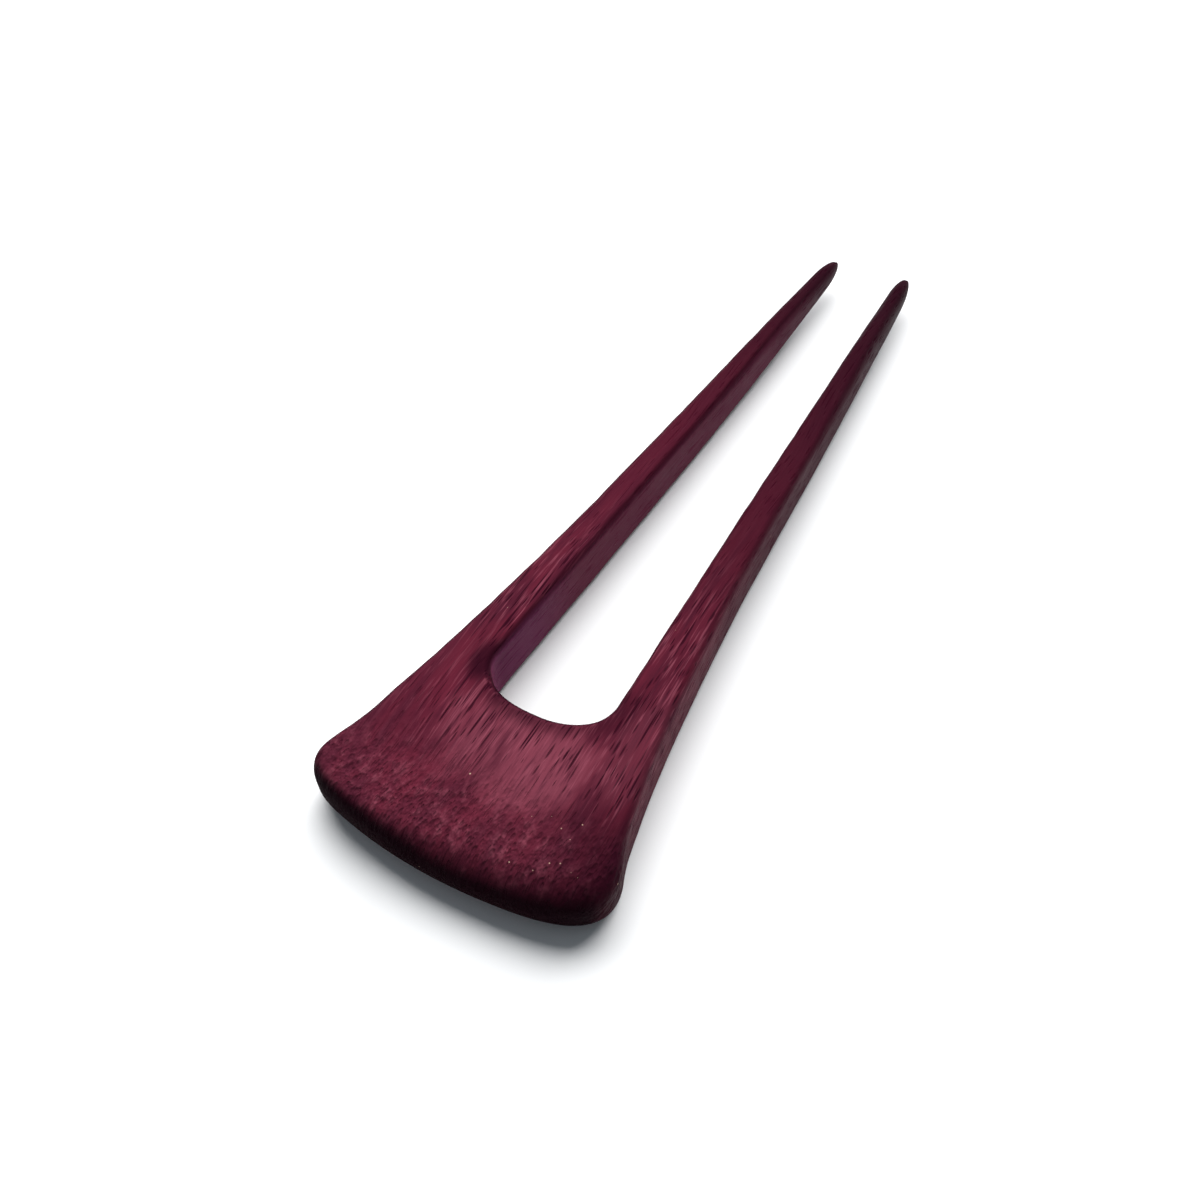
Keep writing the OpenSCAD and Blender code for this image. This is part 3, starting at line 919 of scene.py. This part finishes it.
# %% The finished material
FINE_RELIEF, DIMPLE_DEPTH, RIPPLE_RELIEF = 0.4, 1.5, 2.2
sunk = calc(tree, "MAXIMUM", long_pores, short_pores)
pore_depth = calc(tree, "MAXIMUM", sunk, times(dimples, near_end, DIMPLE_DEPTH))
relief = calc(tree, "SUBTRACT", calc(tree, "MULTIPLY", fine, FINE_RELIEF), pore_depth)
relief = calc(tree, "ADD", relief, times(ripples, near_end, RIPPLE_RELIEF))
bump = place(tree, "ShaderNodeBump", {"Height": relief, "Strength": 0.5, "Distance": 0.2 * MM}).outputs[0]
dullness = calc(tree, "ADD", eased(mottle, 0.0, 1.0, 0.45, 0.57),
                eased(calc(tree, "MAXIMUM", pore_depth, end_grain), 0.0, 1.0, 0.0, 0.3))
shader = place(tree, "ShaderNodeBsdfPrincipled", {
    "Base Color": body, "Roughness": dullness, "Normal": bump, "IOR": 1.45, "Specular IOR Level": 0.04})
place(tree, "ShaderNodeOutputMaterial", {"Surface": shader.outputs[0]})
print("wood tree:", len(tree.nodes), "nodes")

# %% [markdown]
# From the tree to a plain mesh
# The loft tree runs as a modifier on the rails. A modifier keeps its inputs under the
# sockets' identifiers, not their names, so each name is looked up first. The result is
# copied into a plain mesh, and then the modifier and the helper points go.

# %% Run the loft
loft_inputs = {
    "Section Card": card, "Length": TOTAL_LENGTH, "Thickness": BOARD_THICKNESS, "Side Round": SIDE_ROUND,
    "End Lift": END_LIFT, "Lift Reach": LIFT_REACH, "Tip Lift": TIP_LIFT, "Tip Lift Reach": TIP_LIFT_REACH,
    "Edge Band": EDGE_BAND, "Round Share": ROUND_SHARE, "Middle": centre,
    "Edge Wander": 0.9, "Wander Length": 7 * MM, "Wave Depth": 0.1 * MM, "Wave Length": 13 * MM,
    "Seed": 4.0, "Material": wood}
modifier = rails.modifiers.new("loft", "NODES")
modifier.node_group = loft
for socket in loft.interface.items_tree:
    if socket.item_type == "SOCKET" and socket.in_out == "INPUT" and socket.name in loft_inputs:
        modifier[socket.identifier] = loft_inputs[socket.name]
evaluated = rails.evaluated_get(bpy.context.evaluated_depsgraph_get())
skin = bpy.data.meshes.new_from_object(evaluated)
rails.modifiers.remove(modifier)
for helper in (rails, card):
    bpy.data.objects.remove(helper)
print("loft:", len(skin.vertices), "points")

# %% [markdown]
# A closed skin that faces outwards
# A block of wood has no open edge and no inside-out face. Doubled points were merged in
# the tree, where the slices close up and meet. Here the normals are made to agree, the
# open edges are counted, which should give none, and the skin's volume is printed.

# %% Finish the mesh
work = bmesh.new()
work.from_mesh(skin)
bmesh.ops.recalc_face_normals(work, faces=work.faces)
open_edges = sum(not e.is_manifold for e in work.edges)
volume = work.calc_volume(signed=True)
work.to_mesh(skin)
work.free()
skin.shade_smooth()
fork = bpy.data.objects.new("fork_body", skin)
bpy.context.scene.collection.objects.link(fork)
print("fork skin:", len(skin.polygons), "faces,", open_edges, "open edges,", round(volume * 1e6, 3), "cm3")

# %% [markdown]
# The skin against the solid
# The fork has to be where the imported solid is, so the distance from the skin to it is
# measured at every few points. It may differ only by the waves and the wandering edge.
# Then the piece is put on the part's one body, in the place of the solid.

# %% Measure, and put the skin in the solid's place
TESTED_EVERY = 23
SAME_POINT = 1e-7
solid = bmesh.new()
solid.from_mesh(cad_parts["hair_fork"].data)
bmesh.ops.remove_doubles(solid, verts=solid.verts, dist=SAME_POINT)
tree_of_solid = BVHTree.FromBMesh(solid)
solid.free()
gaps = [tree_of_solid.find_nearest(v.co)[3] / MM for v in list(skin.vertices)[::TESTED_EVERY]]
print("skin to solid in mm: mean", round(sum(gaps) / len(gaps), 3), "largest", round(max(gaps), 3))
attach(fork, "root")
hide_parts("hair_fork")

# %% [markdown]
# The table
# The fork was photographed on plain white paper, so bright that it has no texture. A
# wide, pale, matt sheet stands for it. One flat face is enough, because nothing of it
# shows but the soft shadow that the wood throws.

# %% Make the table
TABLE_HALF = 4.0
table = bpy.data.meshes.new("table_top")
table.from_pydata([(-TABLE_HALF, -TABLE_HALF, 0), (TABLE_HALF, -TABLE_HALF, 0),
                   (TABLE_HALF, TABLE_HALF, 0), (-TABLE_HALF, TABLE_HALF, 0)], [], [(0, 1, 2, 3)])
table_top = bpy.data.objects.new("table_top", table)
bpy.context.scene.collection.objects.link(table_top)
paper = bpy.data.materials.new("matt_paper")
paper.use_nodes = True
paper.node_tree.nodes.clear()
sheet = place(paper.node_tree, "ShaderNodeBsdfPrincipled", {
    "Base Color": (0.88, 0.88, 0.88, 1), "Roughness": 0.9, "Specular IOR Level": 0.1})
place(paper.node_tree, "ShaderNodeOutputMaterial", {"Surface": sheet.outputs[0]})
table.materials.append(paper)
print("table:", 2 * TABLE_HALF, "m wide")

# %% [markdown]
# Soft light from behind
# The light is one very wide source, like a large window with a curtain, beyond the tips
# and a little to the left. A sun lamp with a wide angle gives it, with no falloff to tune.
# It leaves the rounded end nearly black and lays a wide soft shadow towards the viewer.
# Its mirror image is switched off, because on this wood it would lie as a grey haze. A
# dim bluish sky fills the shadows, and the camera sees plain white beyond the table.

# %% Light the scene
TOWARDS_WINDOW = Vector((-0.30, 0.72, 0.55))
window = bpy.data.lights.new("window", "SUN")
window.energy = 8.0
window.angle = math.radians(80)
window.specular_factor = 0.0
window_object = bpy.data.objects.new("window", window)
window_object.visible_glossy = False
window_object.rotation_mode = "QUATERNION"
window_object.rotation_quaternion = TOWARDS_WINDOW.to_track_quat("Z", "Y")
bpy.context.scene.collection.objects.link(window_object)

sky = bpy.data.worlds.new("room")
bpy.context.scene.world = sky
sky.use_nodes = True
room = sky.node_tree
room.nodes.clear()
dim = place(room, "ShaderNodeBackground", {"Color": (0.82, 0.91, 1.0, 1), "Strength": 0.2})
white = place(room, "ShaderNodeBackground", {"Color": (1, 1, 1, 1), "Strength": 1.0})
seen = room.nodes.new("ShaderNodeLightPath").outputs["Is Camera Ray"]
blend = place(room, "ShaderNodeMixShader", {0: seen, 1: dim.outputs[0], 2: white.outputs[0]})
place(room, "ShaderNodeOutputWorld", {"Surface": blend.outputs[0]})
bpy.context.scene.view_settings.view_transform = "Standard"
window_height = math.degrees(math.asin(TOWARDS_WINDOW.normalized().z))
print("window at", round(window_height, 1), "degrees above the table")

# %% [markdown]
# The camera
# The photograph was taken from close above the head's end, with the camera held slightly
# askew: the near end looks large and the tips small. The angles, the distance and the
# lens below were fitted until the outline met the photograph's, from head to tips.

# %% Place the camera
CAMERA_AZIMUTH, CAMERA_ELEVATION, CAMERA_ROLL = (math.radians(a) for a in (30.859, 46.447, -2.109))
CAMERA_DISTANCE = 130.87 * MM
SENSOR_WIDTH, FOCAL_LENGTH = 36, 30.18
LOOKED_AT = Vector((-4.616, -23.368, 0)) * MM
ahead = Vector((-math.sin(CAMERA_AZIMUTH) * math.cos(CAMERA_ELEVATION),
                math.cos(CAMERA_AZIMUTH) * math.cos(CAMERA_ELEVATION), -math.sin(CAMERA_ELEVATION)))
level_right = Vector((math.cos(CAMERA_AZIMUTH), math.sin(CAMERA_AZIMUTH), 0))
level_up = level_right.cross(ahead)
right = level_right * math.cos(CAMERA_ROLL) + level_up * math.sin(CAMERA_ROLL)
up = level_up * math.cos(CAMERA_ROLL) - level_right * math.sin(CAMERA_ROLL)
camera = bpy.data.cameras.new("camera")
camera.sensor_width = SENSOR_WIDTH
camera.lens = FOCAL_LENGTH
camera.clip_start = 5 * MM
camera_object = bpy.data.objects.new("camera", camera)
turn = Matrix((right, up, -ahead)).transposed().to_4x4()
camera_object.matrix_world = Matrix.Translation(LOOKED_AT - ahead * CAMERA_DISTANCE) @ turn
bpy.context.scene.collection.objects.link(camera_object)
bpy.context.scene.camera = camera_object
print("camera at mm:", [round(v / MM, 1) for v in camera_object.location])
